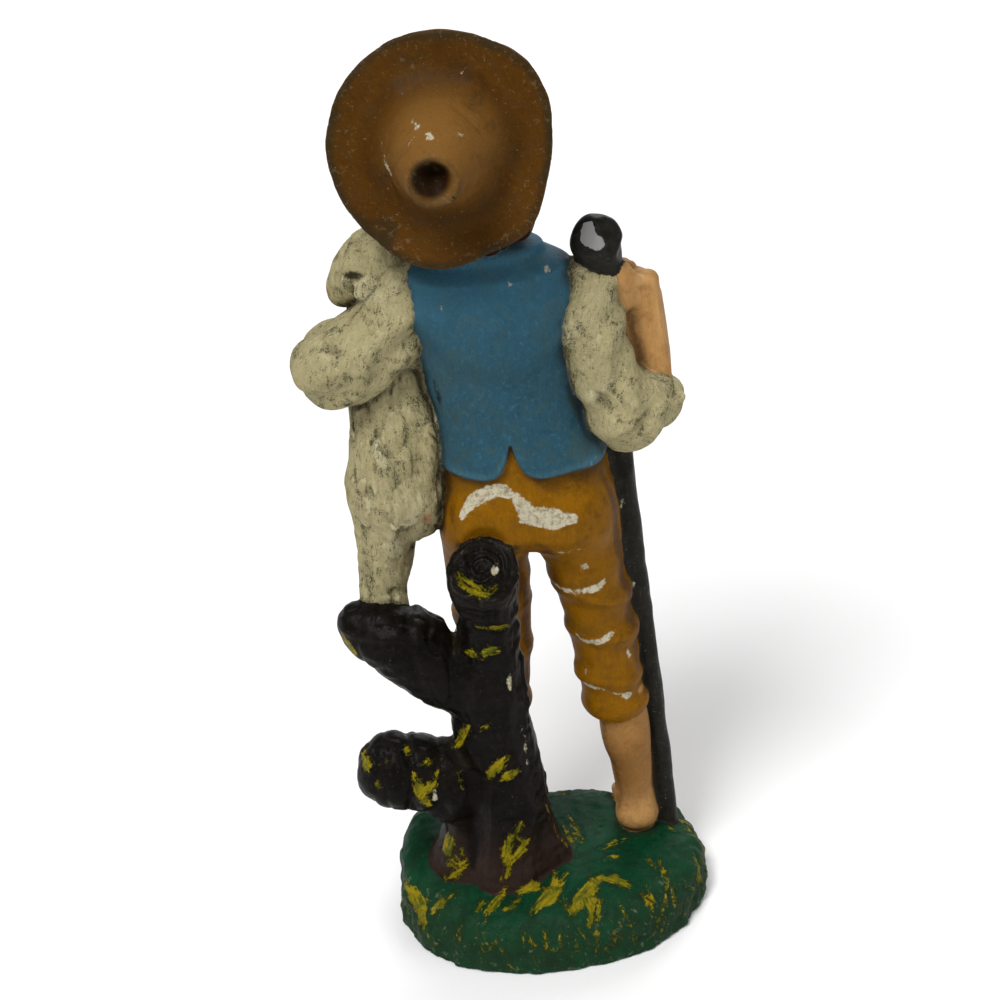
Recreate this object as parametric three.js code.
// A small plaster figurine of a shepherd boy for a Christmas crib, cast in one piece and painted.
// He stands barefoot on a grassy mound with a tree stump behind his left leg. His left arm holds a lamb whose
// hind feet stand on a branch stub, and his raised right hand grips a stout staff. His wide hat hangs at the
// back of his head. The whole figurine is one closed solid.
// Millimetres, +Z up. The boy faces -Y, his left hand is on the +X side, and the origin is at the middle of
// the mound's flat underside.

import * as THREE from "three";

// Driving dimensions.
const MOUND = { width: 49.6, depth: 38.4, height: 10, plan: 2.2, profile: 3.8, ripple: 0.012, skew: 0.1 };
const HAT = {
  centre: [6.5, 2.2, 132.4], // middle of the brim
  axis: [0.1, 0.965, 0.24], // the way the crown points: backward and a little up
  brimRadius: 15.8,
  brimHalf: 0.75, // half of the brim's thickness
  dish: 5.4, // how strongly the brim's edge curves toward the crown
  crooked: [[2, 0.03, 2.3], [3, 0.025, -1.64], [5, 0.009, 0.18]], // waves of the brim: count, size, shift
  crownRadius: 10,
  crownHeight: 12.5,
  tipRadius: 3.5,
  droop: 3.4, // how far the tip hangs below the axis
  dent: 1.9,
};
const RINGS = [
  [15.4, 0.2, 47.8, 6.7],
  [21.2, -0.8, 51.4, 6.1],
  [17.4, 2.4, 28.2, 6.1],
]; // growth rings on the branch stubs: middle, radius
const CREASES = [
  [-9.7, -4.8, 56, 5.75, -14],
  [-10.6, -4.8, 48.6, 5.5, -8],
  [-11.4, -4.6, 40.4, 5.25, -10],
  [6.6, -6.4, 53.6, 6.5, 12],
  [6.7, -6.9, 46, 6, -8],
]; // raised folds round the trouser legs: middle, radius, slant in degrees
const FRINGE = [[-1, 1.6], [1.6, 0.4], [4.4, 0], [7.4, 0.3], [10.4, 1.4]]; // locks: across, drop
const BOX = { low: [-30, -27, -3], high: [35, 23, 152] }; // room that is searched for the surface
const GRID = 1; // spacing of the samples
const TRIANGLES = 9000; // faces left on the finished solid
const CREASE = 0.55; // width of the soft crease where two modelled parts meet

const at = (x, y, z) => new THREE.Vector3(x, y, z);
const clamp = THREE.MathUtils.clamp;
const lerp = THREE.MathUtils.lerp;

// Shapes. Each is a function of x, y, z: negative inside, positive outside, about the distance in millimetres.

// A rod between two points with round ends, whose radius runs from one value to the other.
function rod(a, b, radiusA, radiusB) {
  const along = b.clone().sub(a);
  const length2 = along.lengthSq();
  return (x, y, z) => {
    const px = x - a.x;
    const py = y - a.y;
    const pz = z - a.z;
    const t = clamp((px * along.x + py * along.y + pz * along.z) / length2, 0, 1);
    const dx = px - t * along.x;
    const dy = py - t * along.y;
    const dz = pz - t * along.z;
    return Math.sqrt(dx * dx + dy * dy + dz * dz) - lerp(radiusA, radiusB, t);
  };
}

// A limb along a smooth curve through its joints. Each joint is [x, y, z, radius].
function limb(...joints) {
  const curve = new THREE.CatmullRomCurve3(joints.map(([x, y, z]) => at(x, y, z)), false, "catmullrom", 0.5);
  const spans = joints.length - 1;
  const stepsPerSpan = 4;
  const rods = [];
  const radius = (u) => {
    const span = Math.min(Math.floor(u * spans), spans - 1);
    return lerp(joints[span][3], joints[span + 1][3], u * spans - span);
  };
  for (let i = 0; i < spans * stepsPerSpan; i++) {
    const u = i / (spans * stepsPerSpan);
    const v = (i + 1) / (spans * stepsPerSpan);
    rods.push(rod(curve.getPoint(u), curve.getPoint(v), radius(u), radius(v)));
  }
  return (x, y, z) => {
    let nearest = Infinity;
    for (const segment of rods) nearest = Math.min(nearest, segment(x, y, z));
    return nearest;
  };
}

// An egg with three half-sizes, turned by three angles in degrees.
function egg(centre, sizes, turn = [0, 0, 0]) {
  const angles = new THREE.Euler(...turn.map(THREE.MathUtils.degToRad));
  const turned = new THREE.Matrix4().makeRotationFromEuler(angles);
  const m = new THREE.Matrix3().setFromMatrix4(turned).transpose().elements;
  const [a, b, c] = sizes;
  return (x, y, z) => {
    const px = x - centre[0];
    const py = y - centre[1];
    const pz = z - centre[2];
    const u = (m[0] * px + m[3] * py + m[6] * pz) / a;
    const v = (m[1] * px + m[4] * py + m[7] * pz) / b;
    const w = (m[2] * px + m[5] * py + m[8] * pz) / c;
    const near = Math.sqrt(u * u + v * v + w * w);
    const slope = Math.sqrt((u * u) / (a * a) + (v * v) / (b * b) + (w * w) / (c * c));
    return slope > 0 ? (near * (near - 1)) / slope : -Math.min(a, b, c);
  };
}

// A trunk of oval sections, from bottom to top. Each section is [z, x, y, half width, half depth].
function trunkOf(...sections) {
  const low = sections[0][0];
  const high = sections[sections.length - 1][0];
  const value = (z, k) => {
    const i = clamp(sections.findIndex((s) => s[0] >= z), 1, sections.length - 1);
    const t = clamp((z - sections[i - 1][0]) / (sections[i][0] - sections[i - 1][0]), 0, 1);
    return lerp(sections[i - 1][k], sections[i][k], t * t * (3 - 2 * t));
  };
  return (x, y, z) => {
    const level = clamp(z, low, high);
    const a = value(level, 3);
    const b = value(level, 4);
    const u = (x - value(level, 1)) / a;
    const v = (y - value(level, 2)) / b;
    const side = (Math.sqrt(u * u + v * v) - 1) * Math.min(a, b);
    const end = Math.max(low - z, z - high);
    return end > 0 ? Math.hypot(Math.max(side, 0), end) : Math.max(side, end);
  };
}

// A thin wall between two upright lines, each given as two [x, y, z] points.
function web(lineA, lineB, thickness) {
  const low = Math.max(lineA[0][2], lineB[0][2]);
  const high = Math.min(lineA[1][2], lineB[1][2]);
  const on = (line, z, k) => lerp(line[0][k], line[1][k], (z - line[0][2]) / (line[1][2] - line[0][2]));
  return (x, y, z) => {
    const level = clamp(z, low, high);
    const ax = on(lineA, level, 0);
    const ay = on(lineA, level, 1);
    const bx = on(lineB, level, 0) - ax;
    const by = on(lineB, level, 1) - ay;
    const t = clamp(((x - ax) * bx + (y - ay) * by) / (bx * bx + by * by), 0, 1);
    return Math.hypot(x - ax - t * bx, y - ay - t * by, z - level) - thickness / 2;
  };
}

// The half space behind a plane.
function behind(point, normal) {
  const n = at(...normal).normalize();
  return (x, y, z) => (x - point[0]) * n.x + (y - point[1]) * n.y + (z - point[2]) * n.z;
}

function softMin(a, b, width) {
  const h = Math.max(width - Math.abs(a - b), 0) / width;
  return Math.min(a, b) - (h * h * width) / 4;
}

function join(width, ...shapes) {
  return (x, y, z) => shapes.reduce((near, shape) => softMin(near, shape(x, y, z), width), 1e3);
}

function cut(width, shape, ...tools) {
  return (x, y, z) => tools.reduce((near, tool) => -softMin(-near, tool(x, y, z), width), shape(x, y, z));
}

function keep(width, shape, ...limits) {
  return (x, y, z) => limits.reduce((near, limit) => -softMin(-near, -limit(x, y, z), width), shape(x, y, z));
}

// Adds a carved relief to a shape: positive relief is raised.
function carve(shape, relief) {
  return (x, y, z) => {
    const d = shape(x, y, z);
    return Math.abs(d) < 3 ? d - relief(x, y, z) : d;
  };
}

// Curly lumps, like a fleece: winding ridges of one height and spacing.
function fleece(height, spacing) {
  const k = (2 * Math.PI) / spacing;
  return (x, y, z) =>
    (height / 1.5) *
    (Math.sin(k * x) * Math.cos(k * y) + Math.sin(k * y) * Math.cos(k * z) + Math.sin(k * z) * Math.cos(k * x));
}

// Soft folds of cloth that run across a direction, with a slow sway.
function folds(height, direction, sway) {
  const [a, b, c] = direction.map((v) => 2 * Math.PI * v);
  return (x, y, z) => {
    const drift = sway * Math.sin(0.21 * x + 0.17 * y - 0.24 * z);
    return height * Math.sin(a * x + b * y + c * z + drift);
  };
}

// Bark: ridges up and down round a leaning axis, broken by scars.
function bark(height, ridges) {
  return (x, y, z) => {
    const angle = Math.atan2(y - 1.5, x - 7.2);
    return height * (Math.sin(ridges * angle + 1.4 * Math.sin(0.22 * z)) + 0.7 * Math.sin(0.9 * z + 3 * angle));
  };
}

// The grassy mound: an oval dome with a flat underside, nearly upright flanks and a slightly uneven rim.
function mound() {
  const { width, depth, height, plan, profile, ripple, skew } = MOUND;
  const bank = egg([19, -6.4, 7.6], [5.1, 9, 4.6]);
  return (x, y, z) => {
    const angle = Math.atan2(y, x);
    const uneven = 1 + ripple * (Math.sin(3 * angle + 0.6) + 0.7 * Math.sin(5 * angle + 2));
    const along = Math.abs(x / (width / 2)) ** plan;
    const across = Math.abs((y - skew * Math.min(x, 0)) / (depth / 2)) ** plan;
    const r = (along + across) ** (1 / plan) / uneven;
    const dome = (r ** profile + (Math.max(z, 0) / height) ** profile) ** (1 / profile);
    return Math.max(softMin((dome - 1) * height, bank(x, y, z), 3), -z);
  };
}

// The stump: a trunk sawn off on the slant, spreading roots, and two branch stubs.
function stump() {
  const trunk = limb(
    [7.8, 0.8, 6, 9.2],
    [7.4, 1, 16, 7.8],
    [7.1, 1.2, 28, 6.5],
    [7.6, 1.6, 40, 5.7],
    [7.3, 2.4, 54, 4.9],
    [6.8, 5.6, 65, 5.3],
    [6.6, 9, 73, 5.3],
  );
  const sawn = keep(0.8, trunk, behind([6.6, 5.9, 67.6], [0, 0.59, 0.81]));
  const roots = join(
    2,
    rod(at(8.5, 2, 20), at(10, 6.4, 5.5), 5.2, 4),
    rod(at(6, 1.5, 18), at(-1.6, 1.8, 6), 4.6, 3.2),
    rod(at(9, 0.5, 19), at(17.4, -1.2, 6), 6, 4.2),
  );
  const upperBranch = limb([8, 1, 43, 5], [14, 0.4, 47, 6.3], [21, -0.8, 51.3, 5.7], [26.8, -1.6, 54, 3.5]);
  const lowerBranch = limb([9, 2, 24, 6.2], [17, 2.4, 28, 5.7], [23.8, 2.6, 30, 5.6]);
  const knots = join(0.6, ...RINGS.map(([x, y, z, r]) => egg([x, y, z], [1.1, r, r], [0, -32, 0])));
  const branches = join(0.7, join(2, roots, upperBranch, lowerBranch), knots);
  return carve(join(2, sawn, branches), bark(0.22, 7));
}

// Trousers: hips, seat and two legs that end in rolled cuffs under the knee.
function trousers() {
  const hips = trunkOf(
    [66.5, -1.6, -4.8, 11, 6.6],
    [69.5, -1.5, -4.6, 12.6, 8],
    [73, -1.2, -4.6, 12.8, 8.2],
    [79, -0.9, -5, 12, 7.8],
    [86, -0.2, -5, 10.6, 7],
  );
  const seat = join(1.5, egg([-6.6, -0.8, 71], [6.2, 5.2, 6.2]), egg([5.2, -0.8, 71.4], [6.2, 5.2, 6.2]));
  const rightLeg = join(
    1,
    limb([-7.8, -4.8, 67, 6.7], [-9.6, -4.8, 56, 5.3], [-11, -4.8, 46, 5], [-11.8, -4.4, 35.5, 4.6]),
    egg([-11.9, -4.3, 34.8], [5.1, 5.1, 2.8]),
  );
  const leftLeg = join(
    1,
    limb([5.8, -5.2, 67, 6.8], [6.6, -6.2, 55, 6.2], [6.7, -7, 45, 5.6], [6.6, -6.8, 36, 5]),
    egg([6.6, -6.8, 35.5], [5.4, 5.4, 2.8]),
  );
  const ridges = CREASES.map(([x, y, z, r, lean]) => egg([x, y, z], [r, r, 1], [6, lean, 0]));
  const cloth = join(2.2, hips, seat, join(1.1, rightLeg, leftLeg));
  return carve(join(1.2, cloth, ...ridges), folds(0.1, [0.06, 0.04, 0.13], 1.6));
}

// Bare shins and feet, toes to the front.
function bareLegs() {
  const rightShin = limb(
    [-12.6, -4.2, 36, 3.8],
    [-13.6, -4.4, 26, 3.5],
    [-14, -5.2, 17, 2.9],
    [-14.4, -6, 11.6, 3.4],
  );
  const rightFoot = join(1.5, egg([-14.3, -9, 10.2], [3, 5.6, 2.6]), egg([-14, -12.8, 9.6], [3.3, 2.6, 1.9]));
  const leftShin = limb([6.6, -6.8, 36, 3.9], [6.2, -6.8, 26, 4.1], [6.1, -7.4, 17, 3.1], [6, -8.2, 11.8, 3.4]);
  const leftFoot = join(
    1.5,
    egg([6.6, -11.2, 10.2], [3, 5.6, 2.6], [0, 0, 10]),
    egg([7.3, -14.8, 9.6], [3.3, 2.6, 1.9], [0, 0, 10]),
  );
  return join(1.5, rightShin, rightFoot, leftShin, leftFoot);
}

// The vest: sleeveless, open down the front, with a slit between two rounded tails at the back.
function vest() {
  const body = trunkOf(
    [77, -1.2, -4.8, 13, 8.8],
    [82, -0.8, -4.8, 12.7, 8.2],
    [88, 0.3, -5, 11, 7.5],
    [94, 1.1, -5, 11.1, 7.5],
    [101, 1.4, -5, 12.2, 8],
    [106, 1.9, -4.8, 13.3, 7.8],
    [110.5, 2, -5, 12.4, 6.8],
    [113.4, 2.4, -5.4, 9, 5.6],
    [116, 2.8, -5.6, 5, 4.6],
  );
  const rightTail = egg([-6.4, -4, 85.4], [7.6, 14, 6.4]);
  const leftTail = egg([7, -4, 86], [7, 14, 6.4]);
  const aboveTails = join(1, egg([0.4, -5, 98.6], [20, 14, 12]), behind([0, 0, 90], [0, 0, -1]));
  const opening = egg([1, -15, 96], [5, 7, 26]);
  return cut(1, keep(1.2, body, join(0.6, rightTail, leftTail, aboveTails)), opening);
}

// The shirt: the chest in the vest's opening, a soft collar, and two full sleeves.
function shirt() {
  const chest = trunkOf(
    [85, 0.2, -5.4, 9.6, 6.8],
    [93, 1.2, -5.4, 9.8, 6.9],
    [104, 1.5, -5.2, 10.6, 7],
    [111, 1.6, -5.2, 8.6, 5.6],
    [115, 2.4, -5.6, 5.4, 4.8],
  );
  const collar = join(
    1,
    egg([-0.6, -9.4, 113], [3.4, 2.4, 2.2], [0, -20, 10]),
    egg([5.8, -9.8, 113.2], [3.4, 2.4, 2.2], [0, 20, -10]),
  );
  const rightSleeve = join(
    1.5,
    limb([-12.6, -4.6, 107, 4.6], [-14.6, -2.8, 98, 5.3], [-17.8, -2, 87, 6.5]),
    egg([-20.3, -3.8, 87], [5.2, 5, 4], [0, 38, 0]),
  );
  const leftSleeve = limb(
    [15.4, -6, 108.4, 5],
    [19.2, -4.6, 103.6, 6],
    [24.9, -4.6, 97.9, 6.8],
    [22.6, -11.4, 96, 6],
    [18.6, -16.6, 94.4, 4.8],
  );
  const sleeves = carve(join(1.5, rightSleeve, leftSleeve), folds(0.32, [0.11, 0.07, 0.12], 1.8));
  return join(1.5, chest, collar, sleeves);
}

// The head and neck, the left hand under the lamb, and the raised right forearm with its fist round the staff.
function headAndHands() {
  const skull = egg([5, -7.6, 126.4], [8.7, 9.4, 11]);
  const jaw = egg([4.7, -10.4, 120.8], [6.3, 6, 7.2]);
  const nose = rod(at(4.9, -16.2, 126), at(4.8, -17.8, 123.2), 0.8, 1.3);
  const neck = limb([2.2, -5.4, 109, 4.6], [3.4, -6.2, 117, 4.2]);
  const leftForearm = limb([19, -16, 94.4, 3.6], [14, -18.8, 94, 3], [9.4, -18, 94.8, 2.7]);
  const leftHand = egg([7, -16.2, 95.4], [3.8, 2.3, 2.9], [0, 0, -30]);
  const rightForearm = limb([-20.2, -5, 88, 3.5], [-20.8, -7, 96, 2.9], [-20.5, -8.4, 101.9, 2.7]);
  const rightHand = join(
    1,
    egg([-19, -8.8, 103.8], [3.9, 3.3, 2.8], [0, 8, 0]),
    egg([-15.4, -10.2, 104.4], [3, 2.4, 2.8]),
  );
  const elbowWeb = web([[-20.4, -5.6, 87], [-20.2, -7.8, 105]], [[-16.4, -4, 87], [-14.4, -5.2, 107]], 3.2);
  return join(
    1.5,
    join(3, skull, jaw),
    nose,
    neck,
    join(1, leftForearm, leftHand),
    join(1.2, rightForearm, rightHand, elbowWeb),
  );
}

// Short wavy hair with a fringe, and a curl at the nape that shows under the hat.
function hair() {
  const cap = egg([5.1, -6.4, 127.6], [9.9, 10.6, 11.2]);
  const face = egg([4.8, -18.6, 122.6], [6.9, 8, 9.4]);
  const fringe = FRINGE.map(([x, drop]) =>
    rod(at(x * 0.7 + 1.5, -11.4, 136), at(x, -15.3, 131.8 - drop), 1.6, 1.2),
  );
  const curls = [egg([-3.4, -8.4, 121.4], [2.4, 4.4, 6]), egg([13.4, -8.4, 121.8], [2.4, 4.4, 6])];
  const nape = [egg([-2.8, -3.2, 118], [2.8, 3, 2.8]), egg([4, -1.6, 119], [8, 3.6, 5])];
  return join(0.8, cut(0.6, cap, face), ...fringe, ...curls, ...nape);
}

// The hat: a wide, softly dished, slightly crooked brim and a drooping cone of a crown with a dent in its tip.
function hat() {
  const { brimRadius, brimHalf, dish, crownRadius, crownHeight, tipRadius, droop, dent } = HAT;
  const centre = at(...HAT.centre);
  const axis = at(...HAT.axis).normalize();
  const up = at(1, 0, 0).cross(axis).normalize();
  const side = axis.clone().cross(up).normalize();
  return (x, y, z) => {
    const p = at(x, y, z).sub(centre);
    const u = p.dot(side);
    const v = p.dot(up);
    const h = p.dot(axis);
    const rho = Math.hypot(u, v);
    const angle = Math.atan2(v, u);
    const wave = (sum, [k, size, shift]) => sum + size * Math.cos(k * angle + shift);
    const crooked = HAT.crooked.reduce(wave, 1);
    const curve = dish * Math.max(rho / brimRadius - 0.6, 0) ** 2;
    const brim = -softMin(brimHalf - Math.abs(h - curve), brimRadius * crooked - rho, 1);
    const t = clamp(h / crownHeight, 0, 1);
    const crownRho = Math.hypot(u, v + droop * t * t);
    const crown = lerp(crownRadius, tipRadius, t ** 0.72);
    const cone = Math.max((crownRho - crown) * 0.82, h - crownHeight, -1 - h);
    const hollow = Math.hypot(crownRho, h - crownHeight - 0.6) - dent;
    return softMin(brim, -softMin(-cone, hollow, 1.2), 3);
  };
}

// The lamb: it stands on its hind legs, with its chest in the boy's arm and its head over the sleeve.
function lamb() {
  const hindLegs = join(
    0.8,
    limb([19, -5.6, 73, 4.4], [19.6, -4.8, 65, 3.3], [20.6, -3.4, 56.5, 2.1]),
    limb([20.6, -5, 73, 4.4], [22.2, -4, 65, 3.1], [23.5, -2.6, 56.5, 2.1]),
  );
  const body = limb(
    [18, -6, 76.4, 7.4],
    [18.1, -6.8, 83, 7.3],
    [17.2, -9.4, 91, 6.9],
    [17.4, -11.4, 99, 6.8],
    [18.4, -9.8, 106.4, 4.9],
  );
  const head = join(
    0.8,
    limb([18.2, -8, 111.2, 5], [20.4, -8.6, 109.8, 4.5], [23, -9.4, 106.8, 3.1]),
    egg([19.4, -3.6, 110], [3, 1.3, 1.8], [0, 28, 14]),
    egg([18.4, -12.8, 110], [3, 1.3, 1.8], [0, 28, -14]),
  );
  const forelegs = join(
    0.6,
    rod(at(12, -17, 98.4), at(11, -21.2, 90.8), 2.6, 1.8),
    rod(at(17, -17, 98.4), at(16.4, -21.2, 90.4), 2.6, 1.8),
  );
  const haunch = egg([14.8, -5.6, 74.4], [4.6, 5.4, 5.6]);
  return carve(join(2, body, haunch, hindLegs, head, forelegs), fleece(0.3, 5));
}

// The staff: a stout stick from the mound to above the shoulder, with a chipped knob at its top.
function staff() {
  const shaft = limb(
    [-19.2, -6.4, 7, 1.7],
    [-18.1, -7, 31, 1.75],
    [-16.6, -7.8, 57, 1.85],
    [-15.5, -8.2, 76, 2.1],
    [-15.1, -8, 92, 2.4],
    [-14.9, -6.6, 104, 2.6],
    [-14.6, -4.8, 110.6, 3],
  );
  const knob = keep(
    0.5,
    egg([-14.5, -4.2, 112.5], [4.1, 4.1, 4.3]),
    behind([-14, -1.2, 113.5], [0.15, 0.9, 0.5]),
    behind([-16.9, -3, 113.6], [-0.8, 0.3, 0.5]),
    behind([-12, -3, 114], [0.85, 0.3, 0.45]),
  );
  return join(1, shaft, knob);
}

// Thin plaster left between the staff and the leg beside it, as in a two-part mould.
function staffWeb() {
  const lower = web([[-14.4, -6, 8], [-11.4, -5.4, 48]], [[-18.8, -6.4, 8], [-16.6, -7.4, 48]], 2.4);
  const upper = web([[-11.4, -5.4, 48], [-9, -5, 78]], [[-16.6, -7.4, 48], [-15.4, -8.2, 78]], 2.6);
  return join(0.6, lower, upper);
}

// Each modelled part of the figurine. They are one casting, so they meet in soft creases.
const PARTS = [
  mound(),
  stump(),
  trousers(),
  bareLegs(),
  vest(),
  shirt(),
  headAndHands(),
  hair(),
  hat(),
  lamb(),
  staff(),
  staffWeb(),
];
const underside = behind([0, 0, 0], [0, 0, -1]);
const figurine = keep(0.3, join(CREASE, ...PARTS), underside);

// Fills samples where two bits of surface would touch along one edge or at one point only, so that every edge
// of the finished skin has two faces.
function separate(value, [nx, ny, nz], step) {
  const strides = [1, nx, nx * ny];
  const corner = [0, 1, 2, 3, 4, 5, 6, 7].map((c) => (c & 1) + ((c >> 1) & 1) * nx + (c >> 2) * nx * ny);
  let filled = 1;
  const fill = (n) => {
    value[n] = -step * 1e-3;
    filled++;
  };
  while (filled) {
    filled = 0;
    for (let k = 0; k < nz - 1; k++)
      for (let j = 0; j < ny - 1; j++)
        for (let i = 0; i < nx - 1; i++) {
          const n = i + j * strides[1] + k * strides[2];
          for (const [s, t] of [[0, 1], [1, 2], [0, 2]]) {
            const [p, q] = [n + strides[s], n + strides[t]];
            const [a, b, c, d] = [n, p, q, p + strides[t]].map((m) => value[m] < 0);
            if (a === d && b === c && a !== b) fill(a ? p : n);
          }
          const inside = corner.map((m) => value[n + m] < 0);
          const count = inside.filter(Boolean).length;
          for (let c = 0; c < 4; c++) {
            if (inside[c] !== inside[7 - c]) continue;
            if (count === 2 && inside[c]) [c ^ 1, c ^ 3].forEach((m) => fill(n + corner[m]));
            if (count === 6 && !inside[c]) fill(n + corner[c]);
          }
        }
  }
}

// Surface net: one vertex in each grid cell that the surface crosses, and one quad round each grid edge that it
// crosses.
function surfaceNet(shape, low, high, step) {
  const [nx, ny, nz] = [0, 1, 2].map((k) => Math.ceil((high[k] - low[k]) / step) + 1);
  const value = new Float32Array(nx * ny * nz);
  const id = (i, j, k) => i + nx * (j + ny * k);
  for (let k = 0; k < nz; k++)
    for (let j = 0; j < ny; j++)
      for (let i = 0; i < nx; i++) {
        value[id(i, j, k)] = shape(low[0] + i * step, low[1] + j * step, low[2] + k * step);
      }
  separate(value, [nx, ny, nz], step);
  const cell = new Int32Array(nx * ny * nz).fill(-1);
  const points = [];
  const corners = [0, 1, 2, 3, 4, 5, 6, 7].map((c) => [c & 1, (c >> 1) & 1, c >> 2]);
  const edges = [];
  for (let a = 0; a < 8; a++) for (const bit of [1, 2, 4]) if (!(a & bit)) edges.push([a, a | bit]);
  for (let k = 0; k < nz - 1; k++)
    for (let j = 0; j < ny - 1; j++)
      for (let i = 0; i < nx - 1; i++) {
        const v = corners.map(([a, b, c]) => value[id(i + a, j + b, k + c)]);
        const sum = [0, 0, 0];
        let crossings = 0;
        for (const [a, b] of edges)
          if (v[a] < 0 !== v[b] < 0) {
            const t = v[a] / (v[a] - v[b]);
            for (let q = 0; q < 3; q++) sum[q] += lerp(corners[a][q], corners[b][q], t);
            crossings++;
          }
        if (!crossings) continue;
        cell[id(i, j, k)] = points.length;
        points.push([i, j, k].map((n, q) => low[q] + (n + sum[q] / crossings) * step));
      }
  const faces = [];
  const quad = (a, b, c, d, flip) => {
    const [p, q] = [points[a], points[c]];
    const [r, s] = [points[b], points[d]];
    const acrossAC = (p[0] - q[0]) ** 2 + (p[1] - q[1]) ** 2 + (p[2] - q[2]) ** 2;
    const acrossBD = (r[0] - s[0]) ** 2 + (r[1] - s[1]) ** 2 + (r[2] - s[2]) ** 2;
    const pair = acrossAC <= acrossBD ? [[a, b, c], [a, c, d]] : [[b, c, d], [b, d, a]];
    for (const [x, y, z] of pair) faces.push(flip ? [x, z, y] : [x, y, z]);
  };
  for (let k = 1; k < nz - 1; k++)
    for (let j = 1; j < ny - 1; j++)
      for (let i = 1; i < nx - 1; i++) {
        const here = value[id(i, j, k)] < 0;
        const by = (a, b, c) => cell[id(i - a, j - b, k - c)];
        const crosses = (a, b, c) => here !== value[id(i + a, j + b, k + c)] < 0;
        if (crosses(1, 0, 0)) quad(by(0, 1, 1), by(0, 0, 1), by(0, 0, 0), by(0, 1, 0), !here);
        if (crosses(0, 1, 0)) quad(by(1, 0, 1), by(1, 0, 0), by(0, 0, 0), by(0, 0, 1), !here);
        if (crosses(0, 0, 1)) quad(by(1, 1, 0), by(0, 1, 0), by(0, 0, 0), by(1, 0, 0), !here);
      }
  return { points, faces };
}

// Keeps the largest closed skin, so that a bubble shut inside the casting is solid plaster.
function outerSkin(points, faces) {
  const parent = points.map((_, v) => v);
  const root = (v) => {
    while (parent[v] !== v) v = parent[v] = parent[parent[v]];
    return v;
  };
  for (const [a, b, c] of faces) {
    parent[root(a)] = root(b);
    parent[root(b)] = root(c);
  }
  const sizes = new Map();
  for (const [a] of faces) sizes.set(root(a), (sizes.get(root(a)) || 0) + 1);
  const largest = [...sizes].reduce((best, entry) => (entry[1] > best[1] ? entry : best))[0];
  return faces.filter(([a]) => root(a) === largest);
}

// Moves each vertex on to the shape's surface along its slope.
function settle(points, shape, rounds, reach) {
  const e = 0.05;
  for (const p of points) {
    for (let n = 0; n < rounds; n++) {
      const d = shape(...p);
      const [x, y, z] = p;
      const g = [shape(x + e, y, z), shape(x, y + e, z), shape(x, y, z + e)].map((value) => (value - d) / e);
      const steep = g[0] ** 2 + g[1] ** 2 + g[2] ** 2;
      if (steep < 0.04) break;
      const move = clamp(d / steep, -reach, reach);
      for (let k = 0; k < 3; k++) p[k] -= move * g[k];
    }
  }
}

// A queue that gives back the item of least cost.
function costQueue() {
  const heap = [];
  const swap = (i, j) => ([heap[i], heap[j]] = [heap[j], heap[i]]);
  const push = (item) => {
    heap.push(item);
    for (let i = heap.length - 1; i > 0; ) {
      const up = (i - 1) >> 1;
      if (heap[up].cost <= heap[i].cost) break;
      swap(i, up);
      i = up;
    }
  };
  const pop = () => {
    swap(0, heap.length - 1);
    const top = heap.pop();
    for (let i = 0; ; ) {
      let least = i;
      for (const child of [2 * i + 1, 2 * i + 2]) {
        if (child < heap.length && heap[child].cost < heap[least].cost) least = child;
      }
      if (least === i) return top;
      swap(i, least);
      i = least;
    }
  };
  return { push, pop, empty: () => heap.length === 0 };
}

// The squared distance of a point from the planes gathered in a quadric.
function quadricError(q, [x, y, z]) {
  const square = q[0] * x * x + q[4] * y * y + q[7] * z * z;
  const mixed = q[1] * x * y + q[2] * x * z + q[5] * y * z;
  return square + 2 * (mixed + q[3] * x + q[6] * y + q[8] * z) + q[9];
}

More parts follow.
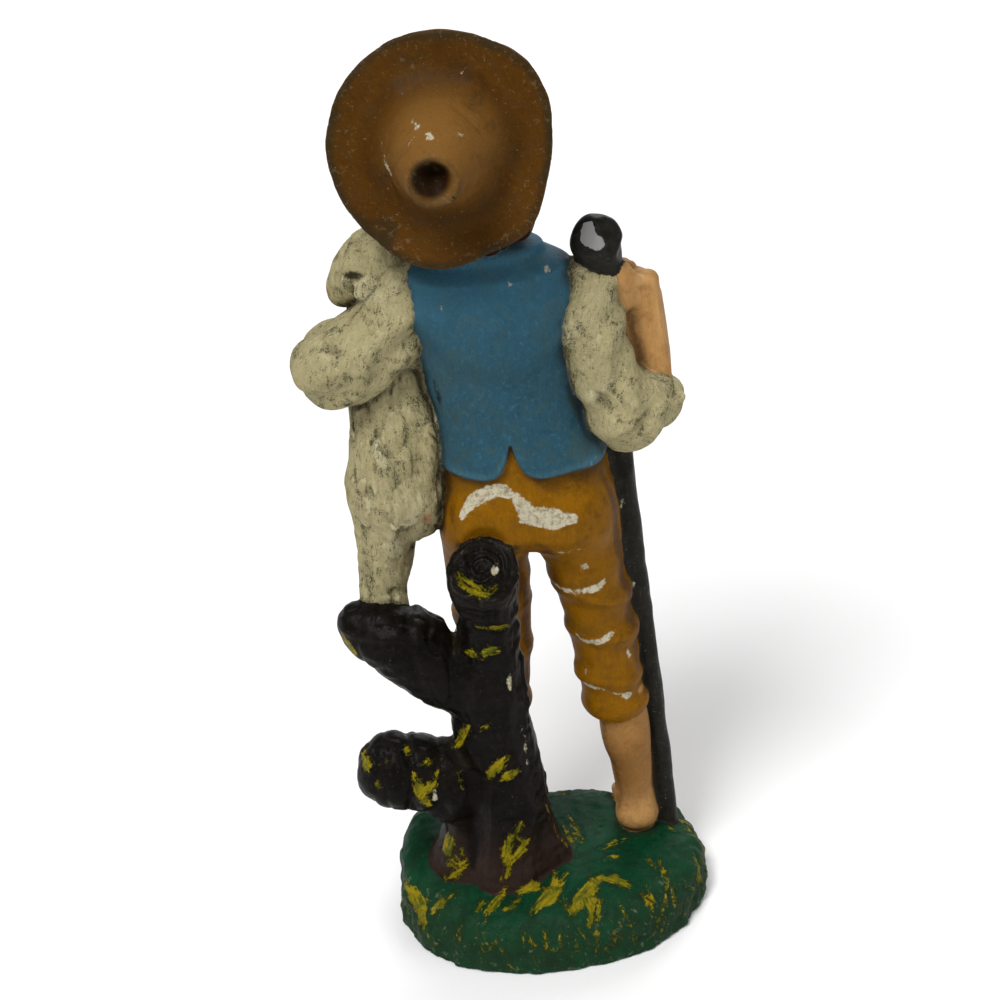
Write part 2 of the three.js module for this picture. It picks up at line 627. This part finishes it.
// Takes faces away, cheapest edge first, by the quadric error, and keeps the surface one closed skin.
function thin(points, faces, target) {
  const normalOf = ([a, b, c]) => {
    const corner = at(...points[a]);
    return at(...points[b]).sub(corner).cross(at(...points[c]).sub(corner));
  };
  const quadric = points.map(() => new Float64Array(10));
  const around = points.map(() => new Set());
  faces.forEach((face, f) => {
    const n = normalOf(face);
    const area = n.length() / 2;
    const { x: a, y: b, z: c } = n.normalize();
    const d = -n.dot(at(...points[face[0]]));
    const q = [a * a, a * b, a * c, a * d, b * b, b * c, b * d, c * c, c * d, d * d];
    for (const v of face) {
      around[v].add(f);
      for (let k = 0; k < 10; k++) quadric[v][k] += q[k] * area;
    }
  });
  const version = new Int32Array(points.length);
  const queue = costQueue();
  const neighbours = (v) => {
    const found = new Set();
    for (const f of around[v]) for (const w of faces[f]) if (w !== v) found.add(w);
    return found;
  };
  const offer = (a, b) => {
    const q = quadric[a].map((value, k) => value + quadric[b][k]);
    const [p, r] = [at(...points[a]), at(...points[b])];
    const length = p.distanceTo(r);
    const middle = p.clone().lerp(r, 0.5);
    const choices = [p, r, middle];
    const m = new THREE.Matrix3().set(q[0], q[1], q[2], q[1], q[4], q[5], q[2], q[5], q[7]);
    if (Math.abs(m.determinant()) > 1e-3) {
      const best = at(-q[3], -q[6], -q[8]).applyMatrix3(m.invert());
      if (best.distanceTo(middle) < 1.5 * length) choices.push(best);
    }
    let cost = Infinity;
    let place = middle;
    for (const choice of choices) {
      const error = quadricError(q, choice.toArray());
      if (error < cost) [cost, place] = [error, choice];
    }
    const shape = Math.max(cost, 0) + 1e-4 * length * length;
    queue.push({ cost: shape, a, b, place: place.toArray(), mark: version[a] + version[b] });
  };
  const turnsOver = (v, other, place) =>
    [...around[v]].some((f) => {
      if (faces[f].includes(other)) return false;
      const before = normalOf(faces[f]);
      const old = points[v];
      points[v] = place;
      const after = normalOf(faces[f]);
      points[v] = old;
      return before.dot(after) < 0.25 * before.length() * after.length();
    });
  for (let v = 0; v < points.length; v++) for (const w of neighbours(v)) if (v < w) offer(v, w);
  let left = faces.length;
  while (left > target && !queue.empty()) {
    const { a, b, place, mark } = queue.pop();
    if (version[a] < 0 || version[b] < 0 || version[a] + version[b] !== mark) continue;
    const besideB = neighbours(b);
    if ([...neighbours(a)].filter((w) => besideB.has(w)).length !== 2) continue;
    if (turnsOver(a, b, place) || turnsOver(b, a, place)) continue;
    points[a] = place;
    for (let k = 0; k < 10; k++) quadric[a][k] += quadric[b][k];
    for (const f of around[b]) {
      if (faces[f].includes(a)) {
        for (const v of faces[f]) if (v !== b) around[v].delete(f);
        faces[f] = null;
        left--;
      } else {
        faces[f] = faces[f].map((v) => (v === b ? a : v));
        around[a].add(f);
      }
    }
    around[b].clear();
    version[b] = -1e9;
    version[a]++;
    for (const w of neighbours(a)) offer(Math.min(a, w), Math.max(a, w));
  }
  return faces.filter(Boolean);
}

function buildFigurine() {
  const { points, faces } = surfaceNet(figurine, BOX.low, BOX.high, GRID);
  settle(points, figurine, 3, GRID / 2);
  const kept = thin(points, outerSkin(points, faces), TRIANGLES);
  const geometry = new THREE.BufferGeometry();
  const used = new Map();
  const flat = [];
  const index = kept.flat().map((v) => {
    if (!used.has(v)) {
      used.set(v, used.size);
      flat.push(...points[v]);
    }
    return used.get(v);
  });
  geometry.setAttribute("position", new THREE.Float32BufferAttribute(flat, 3));
  geometry.setIndex(index);
  geometry.computeVertexNormals();
  return geometry;
}

const figurineMesh = new THREE.Mesh(
  buildFigurine(),
  new THREE.MeshStandardMaterial({ color: "#b9a888", roughness: 0.55, metalness: 0 }),
);
figurineMesh.name = "shepherd_figurine";

const group = new THREE.Group();
group.add(figurineMesh);

export default group;
